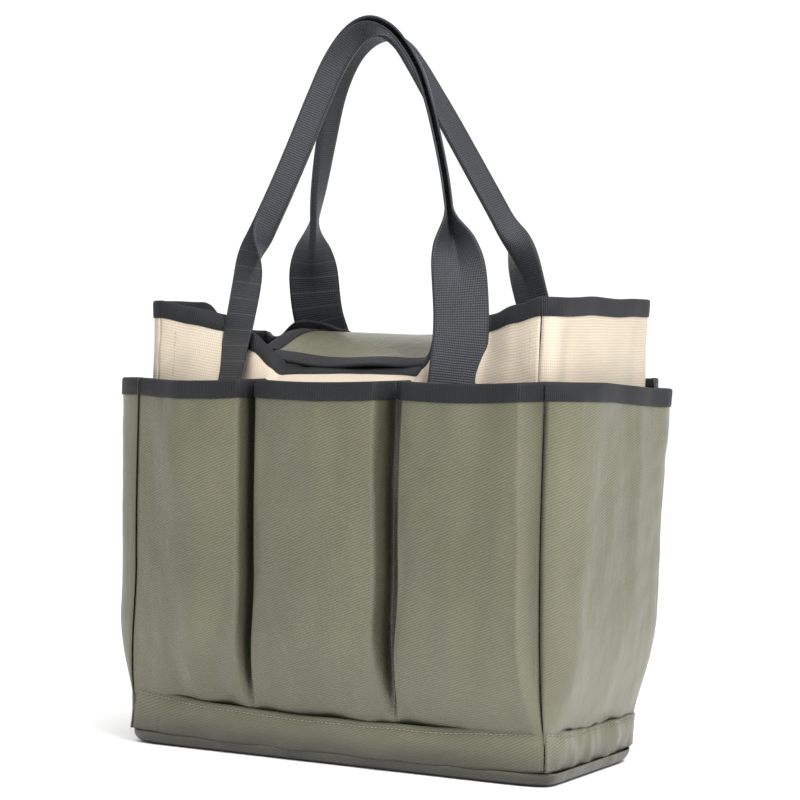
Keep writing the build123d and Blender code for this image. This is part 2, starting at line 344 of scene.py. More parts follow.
def twill_material(name, shade, base, light, pitch, roughness, sheen):
    """Coated twill: fine diagonal ribs with slubs, soft creases, and shade painted into its colour inside
    folds.
    """
    n = Nodes(name)
    u, v = n.split_uv()
    wander = n.math("MULTIPLY", n.noise(40.0, 2.0), 0.0012)
    ribs = n.wave(n.math("ADD", n.slanted(u, v, TWILL_SLANT), wander), pitch)
    thread = n.wave(n.slanted(u, v, THREAD_SLANT), pitch * 0.55)
    weave = n.math("ADD", n.math("MULTIPLY", ribs, 0.7), n.math("MULTIPLY", thread, 0.3))
    cloudy = n.noise(9.0, 4.0)
    slub = n.noise(900.0, 2.0)
    tone = n.math("ADD", n.math("MULTIPLY", weave, 0.34), n.math("MULTIPLY", cloudy, 0.40))
    tone = n.math("ADD", tone, n.math("MULTIPLY", slub, 0.26))
    colour = n.ramp(tone, [(0.18, shade), (0.48, base), (0.82, light)])
    # The colour gets painted shade inside folds, from the ambient occlusion node.
    n.surface(n.paint_fold_shade(colour, FOLD_SHADE_REACH), weave, roughness, 0.12, sheen, 0.45, 0.45)
    stretch = n.add("ShaderNodeMapping")
    stretch.inputs["Scale"].default_value = (1.0, 1.0, 0.28)
    n.link(n.place, stretch.inputs["Vector"])
    creases = n.bump(n.noise(26.0, 3.0, stretch.outputs[0]), 0.7, 0.0055)
    broad = n.bump(n.noise(60.0, 3.0), 0.35, 0.0014, creases)
    n.link(n.bump(weave, 0.55, 0.00022, broad), n.shader.inputs["Normal"])
    return n.material


def rib_material(name, shade, base, light, pitch, roughness, across=False, grid=0.0, lines=0.0,
                 depth=0.0003, sheen=0.3, gloss=0.35, length=0.0):
    """Ribbed cloth, tape or webbing: ridges one way, finer threads the other.

    With lines, a strap of that length also has pale woven lines near its two ends.
    """
    n = Nodes(name)
    u, v = n.split_uv()
    first, second = (u, v) if across else (v, u)
    wander = n.math("MULTIPLY", n.noise(60.0, 2.0), 0.0009)
    ribs = n.wave(n.math("ADD", first, wander), pitch)
    thread = n.wave(second, pitch * 0.7)
    weave = n.math("ADD", n.math("MULTIPLY", ribs, 1.0 - grid), n.math("MULTIPLY", thread, grid))
    cloudy = n.noise(14.0, 4.0)
    slub = n.noise(1100.0, 2.0)
    tone = n.math("ADD", n.math("MULTIPLY", weave, 0.45), n.math("MULTIPLY", cloudy, 0.35))
    tone = n.math("ADD", tone, n.math("MULTIPLY", slub, 0.20))
    colour = n.ramp(tone, [(0.15, shade), (0.5, base), (0.85, light)])
    if lines:
        beat = n.math("FRACT", n.math("MULTIPLY", v, 1.0 / lines))
        from_middle = n.math("ABSOLUTE", n.math("SUBTRACT", v, length / 2))
        from_end = n.math("SUBTRACT", length / 2, from_middle)
        near_end = n.math("MULTIPLY", n.math("SUBTRACT", LINES_REACH, from_end), 30.0, clamp=True)
        mark = n.math("MULTIPLY", n.math("MULTIPLY", n.math("LESS_THAN", beat, 0.08), 0.26), near_end)
        colour = n.mix_colour(mark, colour, tuple(min(c * 2.4, 1.0) for c in light))
    n.surface(colour, weave, roughness, 0.10, sheen, 0.5, gloss)
    n.link(n.bump(weave, 0.7, depth), n.shader.inputs["Normal"])
    return n.material


OLIVE = twill_material("olive_twill", (0.054, 0.052, 0.030), (0.099, 0.0955, 0.059), (0.162, 0.156, 0.102),
                       0.0018, 0.34, 0.03)
BEIGE = rib_material("beige_rib", (0.31, 0.260, 0.198), (0.445, 0.380, 0.298), (0.56, 0.485, 0.39),
                     0.0019, 0.62, grid=0.45, depth=0.00016, sheen=0.1)
TAPE_CLOTH = rib_material("black_grosgrain", (0.003, 0.003, 0.004), (0.009, 0.0095, 0.011),
                          (0.026, 0.027, 0.031), 0.0013, 0.60, across=True, grid=0.25, sheen=0.02, gloss=0.22)
WEB = rib_material("charcoal_webbing", (0.005, 0.006, 0.008), (0.016, 0.018, 0.023), (0.040, 0.043, 0.053),
                   0.0017, 0.52, grid=0.45, lines=0.0115, depth=0.0004, sheen=0.04, gloss=0.28,
                   length=0.90)
THREAD = rib_material("sewing_thread", (0.15, 0.143, 0.10), (0.24, 0.228, 0.165), (0.34, 0.325, 0.25),
                      0.0006, 0.6)
PALE_THREAD = rib_material("beige_thread", (0.40, 0.32, 0.22), (0.55, 0.46, 0.34), (0.65, 0.57, 0.45),
                           0.0006, 0.6)
BOARD = rib_material("stiffener_board", (0.02, 0.02, 0.02), (0.05, 0.05, 0.05), (0.09, 0.09, 0.09),
                     0.004, 0.6)


# ------------------------------------------------------------------ the body
# x from the middle, then distance of the rim from the middle plane, its height,
# and the height where the panel starts to lean in.
FRONT_RIM = [
    (0.0, 47.0, 280.5, 264.0),
    (40.0, 49.0, 280.5, 264.0),
    (57.0, 54.0, 281.0, 263.0),
    (64.0, 60.0, 290.0, 260.0),
    (75.0, 70.0, 303.5, 240.0),
    (92.0, 61.0, 311.0, 218.0),
    (109.0, 53.0, 317.0, 218.0),
    (134.0, 67.0, 323.0, 235.0),
    (PANEL_END, FULL_DEPTH, BODY_TOP, 250.0),
]
BACK_RIM = [
    (0.0, 25.0, 303.0, 240.0),
    (38.0, 27.0, 303.0, 240.0),
    (60.0, 38.0, 304.0, 240.0),
    (75.0, 47.5, 307.0, 235.0),
    (92.0, 41.0, 313.0, 225.0),
    (109.0, 34.0, 318.0, 225.0),
    (134.0, 54.0, 324.0, 240.0),
    (PANEL_END, FULL_DEPTH, BODY_TOP, 250.0),
]


def catmull(a, b, c, d, t):
    """Value at t from b to c on a smooth curve through four numbers or vectors."""
    return 0.5 * (2 * b + (c - a) * t + (2 * a - 5 * b + 4 * c - d) * t * t
                  + (3 * b - a - 3 * c + d) * t ** 3)


def four_at_a_time(points):
    """Each stretch between two points, with the point before and the point after it."""
    ends = [points[0]] + list(points) + [points[-1]]
    return [ends[i - 1:i + 3] for i in range(1, len(ends) - 2)]


def even_places(points, count):
    """Even steps along a line of points, each as the point before it and the share of the way on."""
    lengths = running_length(points)
    k = 0
    for i in range(count):
        want = lengths[-1] * i / (count - 1)
        while k < len(points) - 2 and lengths[k + 1] < want:
            k += 1
        yield k, (want - lengths[k]) / max(lengths[k + 1] - lengths[k], 1e-9)


def curve_points(points, count, steps=12):
    """count points evenly along a smooth curve through 2-D points."""
    fine = []
    for four in four_at_a_time(points):
        fine += [catmull(*(Vector(p) for p in four), k / steps) for k in range(steps)]
    fine.append(Vector(points[-1]))
    return [fine[k].lerp(fine[k + 1], share) for k, share in even_places(fine, count)]


def panel_line(rim, x, count):
    """Points (distance, z) up one line of a front or back panel."""
    rim_y, rim_z, lean_z = along(rim, abs(x))
    bow = 5.0 * max(0.0, 1.0 - abs(x) / PANEL_END)
    low = [(depth_at(z) + bow * z / lean_z, z) for z in (PANEL_FOOT, 70.0, 140.0, lean_z - 26.0)]
    shoulder = (depth_at(lean_z) + bow, lean_z)
    knee = (mix(shoulder[0], rim_y, 0.46), mix(lean_z, rim_z, 0.56))
    return curve_points(low + [shoulder, knee, (rim_y, rim_z)], count)


def panel_rows(rim, side, columns=150, count=92):
    """Grid over the front or back panel, bottom row first; it creases softly above the pockets' middle."""
    lines = []
    for i in range(columns + 1):
        x = mix(-PANEL_END, PANEL_END, i / columns)
        line = []
        for y, z in panel_line(rim, x, count):
            free = smooth((z - 150.0) / 90.0)
            wave = 1.6 * ripple(x, side * 40.0, z, 34.0, 3.1) + 0.7 * ripple(x, 0.0, z, 13.0, 5.7)
            line.append(Vector((x, side * (y + wave * free * 0.8), z)))
        lines.append(line)
    return [turned([line[j] for line in lines], side > 0) for j in range(count)]


def gusset_line(z, hand, count=60):
    """Points (x, y) round one gusset at height z, front to back."""
    half = [(PANEL_END + 0.4, 0.0), (PANEL_END + 7.0, 2.5), (HALF_WIDTH - 0.6, 11.0), (HALF_WIDTH, 35.0)]
    d = depth_at(z)
    front = [(x, -d + inset) for x, inset in half]
    back = [(x, d - inset) for x, inset in reversed(half)]
    return [(hand * x, y) for x, y in curve_points(front + [(HALF_WIDTH, 0.0)] + back, count)]


def gusset_rows(hand, levels=80):
    """Grid over a gusset; its upper part folds in a little beside the seams."""
    rows = []
    for j in range(levels + 1):
        z = mix(PANEL_FOOT, BODY_TOP, j / levels)
        row = []
        for x, y in gusset_line(z, hand):
            free = smooth((z - 230.0) / 60.0)
            side_fold = math.exp(-((abs(y) - 52.0) / 9.0) ** 2) * 3.0 * free * smooth((322.0 - z) / 30.0)
            wave = 1.2 * ripple(x, y, z, 30.0, 9.3 + hand)
            lift = 1.5 * ripple(0.0, y, 0.0, 40.0, 1.0 + hand) * smooth((z - 300.0) / 28.0)
            row.append(Vector((x - hand * side_fold + hand * wave * free, y, z + lift)))
        rows.append(turned(row, hand < 0))
    return rows


def tape_rows(top_edge, foot_edge, normals, skin=0.9):
    """Grid of a folded tape: up the outside, over the edge and down the inside."""
    rows = [[] for _ in range(11)]
    for top, foot, normal in zip(top_edge, foot_edge, normals):
        up = (top - foot).normalized()
        uneven = 0.35 * ripple(top.x, top.y, top.z, 22.0, 4.4)
        out = normal * skin
        inn = -normal * (CLOTH + skin)
        lap = foot + up * uneven
        inner_lap = foot - up * 0.6
        profile = [
            lap + out * 0.55,
            lap + up * 0.7 + out * 1.05,
            foot.lerp(top, 0.5) + out * (1.25 + 0.5 * uneven),
            top - up * 1.0 + out * 1.3,
            top + up * 0.35 + out * 0.85,
            top + up * 0.85 - normal * CLOTH * 0.5,
            top + up * 0.35 + inn * 0.92,
            top - up * 1.0 + inn * 1.15,
            foot.lerp(top, 0.5) + inn * 1.1,
            inner_lap + up * 0.7 + inn * 1.02,
            inner_lap + inn * 0.8,
        ]
        for row, point in zip(rows, profile):
            row.append(point)
    return rows


def edge_of(rows, drop):
    """Top edge of a grid, the line drop mm below it, and the normals between."""
    normals = row_normals(rows)[-2]
    top = rows[-1]
    foot = []
    for i in range(len(top)):
        left = drop
        point = top[i]
        for j in range(len(rows) - 2, -1, -1):
            step = (rows[j][i] - point).length
            if step >= left:
                point = point.lerp(rows[j][i], left / step)
                break
            left -= step
            point = rows[j][i]
        foot.append(point)
    return top, foot, normals


BODY = "bag"
front_rows = panel_rows(FRONT_RIM, -1)
back_rows = panel_rows(BACK_RIM, 1)
right_rows = gusset_rows(1)
left_rows = gusset_rows(-1)
for label, rows, node in (("front_panel_cloth", front_rows, "front_panel"),
                          ("back_panel_cloth", back_rows, "back_panel"),
                          ("right_gusset_cloth", right_rows, "right_gusset"),
                          ("left_gusset_cloth", left_rows, "left_gusset")):
    place(grid_object(label, rows, CLOTH), BODY, [node], BEIGE)

rim_parts = [edge_of(rows, TAPE) for rows in (front_rows, right_rows, back_rows, left_rows)]
rim_edges = [[p for part in rim_parts for p in part[kind]] for kind in range(3)]
rim_tape = grid_object("rim_tape", tape_rows(*rim_edges), closed=True)
place(rim_tape, BODY, ["rim_binding"], TAPE_CLOTH)


# ---------------------------------------------------------------- the pockets
# One front pocket each: its left and right seam, how wide its left and right flank is, the flat strip
# kept at each seam, and how far its left edge bulges over the seam.
FRONT_POCKETS = [
    (-POCKET_CORNER, -STITCH_X, 52.0, 5.0, 0.0, 3.5, 0.0),
    (-STITCH_X, STITCH_X, 3.0, 6.0, 0.5, 9.0, 0.0),
    (STITCH_X, POCKET_CORNER, 4.0, 7.0, 0.5, 1.5, 2.0),
]


def pocket_rise(z, foot=BASE_SEAM):
    """0 at the foot of a pocket to 1 at its mouth."""
    return clamp((z - foot) / (POCKET_TOP - foot))


def fullness(z, full_at=0.30):
    """Share of a pocket's swell at height z; it grows fast from the base seam up to full_at."""
    rise = pocket_rise(z)
    quick = math.sin(min(rise / full_at, 1.0) * math.pi / 2) ** 0.85
    return quick * mix(0.72, 1.0, rise)


def pocket_front_point(x, z, side):
    """A point on the front or back pocket panel: seam line, swell between the seams, then creases."""
    for left, right, left_flank, right_flank, left_strip, right_strip, lip in FRONT_POCKETS:
        if left <= x <= right:
            break
    rise = pocket_rise(z)
    bow = 4.0 * (1.0 - abs(x) / PANEL_END) * min(z / 240.0, 1.0)
    corner = CORNER_LIFT * fullness(z) * smooth((abs(x) - 125.0) / (POCKET_CORNER - 125.0))
    seam = depth_at(z) + bow + POCKET_GAP + corner
    t = 2.0 * (x - left) / (right - left) - 1.0
    spread = mix(1.2, 1.0, smooth(rise * 2.4))
    open_left = smooth((x - left - left_strip) / (left_flank * spread))
    open_right = smooth((right - right_strip * smooth(rise * 3.0) - x) / (right_flank * spread))
    form = open_left ** 0.55 * open_right ** 0.55
    dome = 0.66 + 0.56 * (1.0 - (0.85 * t - 0.12) ** 2)
    y = seam + FRONT_BULGE * fullness(z, 0.26) * form * dome
    loose = smooth((1.0 - abs(t)) * 5.0)
    streak = 3.0 * ripple(x, 30.0 * side, z * 0.24, 25.0, 6.2)
    drag = 2.0 * ripple(x + 0.45 * z, 9.0 * side, z * 0.55, 32.0, 2.4)
    small = 0.6 * ripple(x, 0.0, z * 0.6, 13.0, 8.8)
    gather = 1.3 * math.sin(0.21 * x + 1.7 * side) * (1.0 - rise) ** 3 * smooth(rise * 12.0)
    y += (streak + drag + small + gather) * loose * mix(0.9, 0.75, rise)
    dip = 1.6 * (1.0 - t * t) * smooth((z - 200.0) / 72.0)
    below_rim = smooth((POCKET_TOP - z) / 60.0) * smooth(rise * 4.0)
    over_seam = lip * open_left * smooth((left + 26.0 - x) / 22.0) * below_rim
    return Vector((x - over_seam, side * y, z - dip))


def front_pocket_rows(side, columns=320, levels=120):
    """Grid over the three pockets of the front or back, which are one sheet."""
    rows = []
    for j in range(levels + 1):
        z = mix(POCKET_FOOT, POCKET_TOP, j / levels)
        row = [pocket_front_point(mix(-POCKET_CORNER, POCKET_CORNER, i / columns), z, side)
               for i in range(columns + 1)]
        rows.append(turned(row, side > 0))
    return rows


def side_pocket_rows(hand, columns=110, levels=110):
    """A side pocket: it swells beside its corner seams and sags towards the back."""
    rows = []
    for j in range(levels + 1):
        z = mix(POCKET_FOOT, POCKET_TOP, j / levels)
        rise = pocket_rise(z, BASE_SEAM - 1.0)
        end = depth_at(z) + 3.0 + CORNER_LIFT * fullness(z)
        swell = END_BULGE[hand] * fullness(z)
        sharp = mix(12.0, 9.0, rise)
        row = []
        for i in range(columns + 1):
            t = mix(-1.0, 1.0, i / columns)
            y = end * t
            form = (1.0 - abs(t) ** sharp) * (1.0 - 0.06 * t * t)
            x = POCKET_CORNER + 1.2 + swell * form + 1.5 * (1.0 - abs(t) ** 30.0) * (1.0 - rise)
            loose = smooth((1.0 - abs(t)) * 5.0)
            wave = 2.6 * ripple(y, 11.0 * hand, z * 0.32, 26.0, 2.7) + 0.7 * ripple(y, 0.0, z, 14.0, 7.9)
            x += wave * loose * mix(0.5, 1.0, rise)
            dip = smooth((z - 150.0) / 122.0) * (7.0 * smooth((t + 0.6) / 1.6) + 1.5 * (1.0 - t * t))
            row.append(Vector((hand * x, y, z - dip)))
        rows.append(turned(row, hand < 0))
    return rows


pocket_sets = (
    ("front_pockets_cloth", front_pocket_rows(-1), "front_pocket_panel", "front_pocket_binding"),
    ("back_pockets_cloth", front_pocket_rows(1), "back_pocket_panel", "back_pocket_binding"),
    ("right_pocket_cloth", side_pocket_rows(1), "right_side_pocket", "right_pocket_binding"),
    ("left_pocket_cloth", side_pocket_rows(-1), "left_side_pocket", "left_pocket_binding"),
)
for label, rows, node, binding in pocket_sets:
    place(grid_object(label, rows, CLOTH), BODY, [node], OLIVE)
    tape = grid_object(label.replace("cloth", "tape"), tape_rows(*edge_of(rows, TAPE)))
    place(tape, BODY, [binding], TAPE_CLOTH)


# ------------------------------------------------------------------- the base
def band_rows(side, across, columns=90, levels=14):
    """Base band over one face: with across it is the front or back, and otherwise side is the hand."""
    left_corner, right_corner = (11.0, 7.0) if across else (8.0, -1.0)
    rows = []
    for j in range(levels + 1):
        t = j / levels
        row = []
        for i in range(columns + 1):
            s = mix(-1.0, 1.0, i / columns)
            edge = abs(s) ** 5
            corner = left_corner if s < 0.0 else right_corner
            z = mix(8.5 + 3.0 * edge, 34.5 + corner * abs(s) ** 2.4, t)
            z += 0.7 * ripple(s * 160.0, 0.0, t * 10.0, 30.0, 3.3)
            bulge = 2.2 * math.sin(t * math.pi) + 1.9 * ripple(s * 160.0, 9.0, t * 26.0, 24.0, 1.9)
            if across:
                reach = HALF_WIDTH - 1.0 + 1.2 * t
                depth = depth_at(z) + 4.6 + bulge * (1.0 - edge) - 2.0 * edge
                point = Vector((s * reach, side * depth, z))
            else:
                reach = depth_at(z) + 2.4
                out = HALF_WIDTH + 2.4 + bulge * (1.0 - edge) - 1.0 * edge
                point = Vector((side * out, s * reach, z))
            row.append(point)
        rows.append(turned(row, across == (side > 0)))
    return rows


band_sets = (
    ("front_band_cloth", band_rows(-1, True), "front_base_band"),
    ("back_band_cloth", band_rows(1, True), "back_base_band"),
    ("right_band_cloth", band_rows(1, False), "right_base_band"),
    ("left_band_cloth", band_rows(-1, False), "left_base_band"),
)
for label, rows, node in band_sets:
    place(grid_object(label, rows, BAND_CLOTH), BODY, [node], OLIVE)


def bottom_rows(levels=16, around=200, roundness=0.13):
    """Bottom panel: flat underside with a rounded edge; a low roundness gives tight corners."""
    underside, edge, edge_height = 1.0, 7.0, 8.6
    rows = []
    for j in range(levels + 1):
        t = j / levels
        if t < 0.5:
            inset, z = mix(60.0, edge, t / 0.5), underside
        else:
            a = (t - 0.5) / 0.5 * math.pi / 2
            inset, z = edge * (1.0 - math.sin(a)), underside + edge_height * (1.0 - math.cos(a))
        half_x = HALF_WIDTH + 3.5 - inset
        half_y = depth_at(PANEL_FOOT) + 3.0 - inset
        row = []
        for i in range(around):
            a = 2 * math.pi * i / around
            c, s = math.cos(a), math.sin(a)
            x = half_x * math.copysign(abs(c) ** roundness, c)
            y = half_y * math.copysign(abs(s) ** roundness, s)
            lift = 2.0 * (abs(c * s) * 2.0) ** 6 * max(t - 0.5, 0.0)
            row.append(Vector((x, y, z + lift)))
        rows.append(row)
    return rows


bottom = grid_object("bottom_cloth", bottom_rows(), BOTTOM_CLOTH, closed=True, offset=1.0)
place(bottom, BODY, ["bottom_panel"], OLIVE)


# ---------------------------------------------------------------- the handles
# Radius of the fold along the middle of the grips.
FOLD_RADIUS = 1.7


def strap_frames(path, count, steps=14):
    """Even stations along a listed path of (x, y, z, turn, fold)."""
    fine = []
    for four in four_at_a_time(path):
        fine += [[catmull(*values, k / steps) for values in zip(*four)] for k in range(steps)]
    fine.append(list(path[-1]))
    places = even_places([Vector(frame[:3]) for frame in fine], count)
    return [[mix(a, b, share) for a, b in zip(fine[k], fine[k + 1])] for k, share in places]


def strap_profile(fold, samples=8, substeps=10):
    """Centre line of the webbing's section (across, outward); fold 1 is folded in half."""
    turn = clamp(fold) * math.radians(88.0)
    step = WEBBING / 2 / samples
    half = [(0.0, 0.0)]
    x = y = run = 0.0
    for _ in range(samples):
        for _ in range(substeps):
            angle = min(run / FOLD_RADIUS, turn)
            x += math.cos(angle) * step / substeps
            y += math.sin(angle) * step / substeps
            run += step / substeps
        half.append((x, y))
    left = [(-a, b) for a, b in reversed(half[1:])]
    profile = left + half
    middle = sum(p[1] for p in profile) / len(profile)
    return [(a, b - middle) for a, b in profile]


def strap_rows(path, count=260):
    """Grid of one whole handle strap, from one sewn end over the top to the other."""
    frames = strap_frames(path, count)
    rows = []
    for i, (x, y, z, turn, fold) in enumerate(frames):
        before = Vector(frames[max(i - 1, 0)][:3])
        after = Vector(frames[min(i + 1, count - 1)][:3])
        tangent = (after - before).normalized()
        angle = math.radians(turn)
        off_loop = tangent.cross(Vector((0.0, 1.0, 0.0))).normalized()
        across = off_loop.cross(tangent) * math.sin(angle) - off_loop * math.cos(angle)
        outward = across.cross(tangent)
        rows.append([Vector((x, y, z)) + across * a + outward * b for a, b in strap_profile(fold)])
    return rows


# x, y, z, turn of the webbing about its own run in degrees, and fold. At turn 0 or 180 the webbing faces
# the front or the back.
FRONT_PATH = [
    (-96.0, -83.0, 205.0, 0.0, 0.0),
    (-94.0, -79.0, 238.0, -20.0, 0.0),
    (-91.0, -73.0, 272.0, -29.0, 0.0),
    (-87.0, -66.0, 308.0, -25.0, 0.0),
    (-82.0, -61.0, 342.0, -24.0, 0.06),
    (-78.5, -58.0, 360.0, -28.0, 0.35),
    (-73.0, -54.0, 380.0, -40.0, 0.94),
    (-65.0, -46.5, 405.0, -52.0, 1.0),
    (-55.0, -37.0, 437.0, -56.0, 1.0),
    (-45.1, -25.0, 474.0, -54.0, 1.0),
    (-37.0, -16.0, 500.0, -48.0, 1.0),
    (-24.0, -11.0, 519.0, -38.0, 1.0),
    (-8.0, -10.0, 526.0, -28.0, 1.0),
    (10.0, -11.5, 520.0, -22.0, 1.0),
    (25.0, -14.5, 506.0, -20.0, 1.0),
    (39.0, -20.0, 487.0, -22.0, 1.0),
    (52.0, -28.5, 462.0, -27.0, 1.0),
    (63.0, -37.0, 437.0, -30.0, 1.0),
    (73.0, -44.5, 410.0, -31.0, 1.0),
    (80.5, -51.0, 384.0, -32.0, 0.97),
    (87.0, -55.5, 364.0, -32.0, 0.45),
    (93.5, -60.5, 342.0, -32.0, 0.08),
    (98.0, -66.0, 308.0, -30.0, 0.0),
    (98.0, -73.0, 272.0, -29.0, 0.0),
    (97.0, -79.0, 238.0, -20.0, 0.0),
    (95.0, -83.0, 205.0, 0.0, 0.0),
]
BACK_PATH = [
    (-92.0, 80.5, 205.0, 180.0, 0.0),
    (-91.0, 73.5, 252.0, 192.0, 0.0),
    (-90.0, 58.5, 290.0, 205.0, 0.0),
    (-91.5, 45.0, 318.0, 207.0, 0.0),
    (-91.5, 39.0, 344.0, 208.0, 0.08),
    (-89.5, 34.0, 366.0, 211.0, 0.50),
    (-86.5, 31.0, 386.0, 213.0, 0.97),
    (-78.5, 25.5, 414.0, 190.0, 1.0),
    (-68.4, 20.0, 448.0, 174.0, 1.0),
    (-57.0, 15.5, 481.0, 170.0, 1.0),
    (-43.0, 12.5, 505.0, 170.0, 1.0),
    (-28.0, 11.0, 518.0, 172.0, 1.0),
    (-12.0, 11.0, 522.0, 176.0, 1.0),
    (2.5, 12.0, 514.0, 184.0, 1.0),
    (13.5, 14.0, 499.0, 192.0, 1.0),
    (24.5, 18.0, 479.0, 197.0, 1.0),
    (37.0, 22.5, 456.0, 201.0, 1.0),
    (56.0, 29.0, 420.0, 204.0, 1.0),
    (75.0, 35.0, 384.0, 205.0, 0.97),
    (82.5, 38.0, 366.0, 205.0, 0.45),
    (89.0, 42.0, 345.0, 205.0, 0.08),
    (95.0, 46.5, 318.0, 205.0, 0.0),
    (97.0, 58.0, 290.0, 204.0, 0.0),
    (95.0, 73.0, 252.0, 192.0, 0.0),
    (92.0, 80.5, 205.0, 180.0, 0.0),
]


def make_handle(name, path, nodes):
    """One strap for a handle and its sewn ends; it bends where it leaves the rim."""
    strap = grid_object(name, strap_rows(path), WEBBING_THICK, offset=0.0, lean=False)
    strap.data.materials.append(WEB)
    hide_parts(*nodes)
    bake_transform(strap)


make_handle("front_handle_webbing", FRONT_PATH, ["front_handle", "front_handle_ends"])
make_handle("back_handle_webbing", BACK_PATH, ["back_handle", "back_handle_ends"])


# -------------------------------------------------------------------- the flap
FLAP_HALF = 88.0
# Rows of the flap's grid that the tape on its free edge covers.
FLAP_TAPE_ROWS = 7
# The flap from its sewn edge to its free edge, as y and z.
FLAP_LINE = [(22.6, 303.0), (5.0, 302.5), (-13.0, 298.5), (-33.0, 289.5), (-52.5, 281.0)]


def flap_rows(columns=120, levels=40):
    """Grid over the flap, back edge first; its front corners ride up on the rim."""
    line = curve_points(FLAP_LINE, levels + 1)
    rows = []
    for j, (y, z) in enumerate(line):
        t = j / levels
        row = []
        for i in range(columns + 1):
            s = mix(-1.0, 1.0, i / columns)
            lift = 8.0 * abs(s) ** 3.0 * t - 3.0 * s * (1.0 - t)
            wave = (1.3 * ripple(s * 80.0, t * 60.0, 0.0, 30.0, 12.0) + 0.9 * math.sin(s * 7.0 + 0.8) * t) * t
            row.append(Vector((s * FLAP_HALF, y - wave * t, z + lift + wave * 0.8)))
        rows.append(row)
    return rows


flap_grid = flap_rows()
flap = grid_object("flap_cloth", flap_grid, CLOTH)
place(flap, "flap", ["flap"], OLIVE)


def flap_tape_edges(rows):
    """The flap's free edges as one line: left side, front, right side."""
    normals = row_normals(rows)
    inset = int(round(TAPE / (2 * FLAP_HALF / (len(rows[0]) - 1))))
    deep = FLAP_TAPE_ROWS
    line = []
    for j in range(len(rows) - deep):
        line.append((rows[j][0], rows[j][inset], normals[j][0]))
    line.append((rows[-1][0], rows[-1 - deep][inset], normals[-1][0]))
    for i in range(inset, len(rows[0]) - inset):
        line.append((rows[-1][i], rows[-1 - deep][i], normals[-1][i]))
    line.append((rows[-1][-1], rows[-1 - deep][-1 - inset], normals[-1][-1]))
    for j in reversed(range(len(rows) - deep)):
        line.append((rows[j][-1], rows[j][-1 - inset], normals[j][-1]))
    return [list(part) for part in zip(*line)]


flap_edge = grid_object("flap_tape", tape_rows(*flap_tape_edges(flap_grid), skin=0.8))
place(flap_edge, "flap", ["flap_binding"], TAPE_CLOTH)


# ------------------------------------------------------------------- stitching
STITCH = 2.4
STITCH_PITCH = 3.4
STITCH_SIDES = 6
# Rings of one stitch: place along it and share of its full radius.
STITCH_RINGS = ((-0.5, 0.35), (-0.3, 1.0), (0.3, 1.0), (0.5, 0.35))


def add_stitch(verts, faces, centre, direction, side, normal, radius):
    """A short capped tube with narrowed ends."""
    base = len(verts)
    for step, swell in STITCH_RINGS:
        for k in range(STITCH_SIDES):
            angle = k * 2 * math.pi / STITCH_SIDES
            offset = side * math.cos(angle) + normal * math.sin(angle)
            point = centre + direction * step * STITCH + offset * radius * swell
            verts.append(leant(point) * MM)
    for ring in range(len(STITCH_RINGS) - 1):
        for k in range(STITCH_SIDES):
            p = base + ring * STITCH_SIDES + k
            q = base + ring * STITCH_SIDES + (k + 1) % STITCH_SIDES
            faces.append((p, q, q + STITCH_SIDES, p + STITCH_SIDES))
    last_ring = base + (len(STITCH_RINGS) - 1) * STITCH_SIDES
    faces.append(tuple(base + k for k in reversed(range(STITCH_SIDES))))
    faces.append(tuple(last_ring + k for k in range(STITCH_SIDES)))


def stitches(name, lines, material, radius=0.36):
    """Rows of thread stitches along lines of (point, normal) pairs."""
    verts = []
    faces = []
    for line in lines:
        carry = 0.0
        for (a, na), (b, nb) in zip(line, line[1:]):
            run = (b - a).length
            if run < 1e-6:
                continue
            direction = (b - a) / run
            at = carry
            while at < run:
                centre = a + direction * at + na.lerp(nb, at / run) * radius * 0.5
                add_stitch(verts, faces, centre, direction, direction.cross(na).normalized(), na, radius)
                at += STITCH_PITCH
            carry = at - run
    obj = new_object(name, verts, faces)
    obj.data.uv_layers.new(name="UVMap")
    obj.data.materials.append(material)
    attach(obj, BODY)


def column_line(rows, index, start, stop):
    """Points and normals up one column of a grid."""
    normals = row_normals(rows)
    return [(rows[j][index], normals[j][index]) for j in range(start, stop)]


def row_line(rows, share, skip=2):
    """Points and normals along the row at a share of a grid's height."""
    normals = row_normals(rows)
    j = int(round(share * (len(rows) - 1)))
    return [(rows[j][i], normals[j][i]) for i in range(skip, len(rows[j]) - skip)]


# Grid columns and rows that the stitching follows.
POCKET_SEAM_START = 6
BODY_SEAM_COLUMNS = (6, -4)
BODY_SEAM_START = 60
BODY_SEAM_STOP = -5
BAND_STITCH_SHARE = 0.86

pocket_seams = []
for _, rows, _, _ in pocket_sets[:2]:
    for x in (-STITCH_X, STITCH_X):
        share = (x + POCKET_CORNER) / (2 * POCKET_CORNER)
        column = int(round(share * (len(rows[0]) - 1)))
        pocket_seams.append(column_line(rows, column, POCKET_SEAM_START, len(rows)))
stitches("pocket_stitching", pocket_seams, THREAD)
band_lines = [row_line(rows, BAND_STITCH_SHARE) for _, rows, _ in band_sets]
stitches("band_stitching", band_lines, THREAD)
body_lines = []
for rows in (front_rows, back_rows):
    for column in BODY_SEAM_COLUMNS:
        body_lines.append(column_line(rows, column, BODY_SEAM_START, len(rows) + BODY_SEAM_STOP))
stitches("seam_stitching", body_lines, PALE_THREAD, radius=0.22)


# ------------------------------------------------------------- inside the bag
# The base board is the one piece that keeps its CAD shape.
base_board = bpy.data.objects["base_board"]
base_board.data.materials.clear()
base_board.data.materials.append(BOARD)


SEAM_TAPE_HALF = 9.0
SEAM_TAPE_FOOT = 10.0
SEAM_TAPE_TOP = 318.0


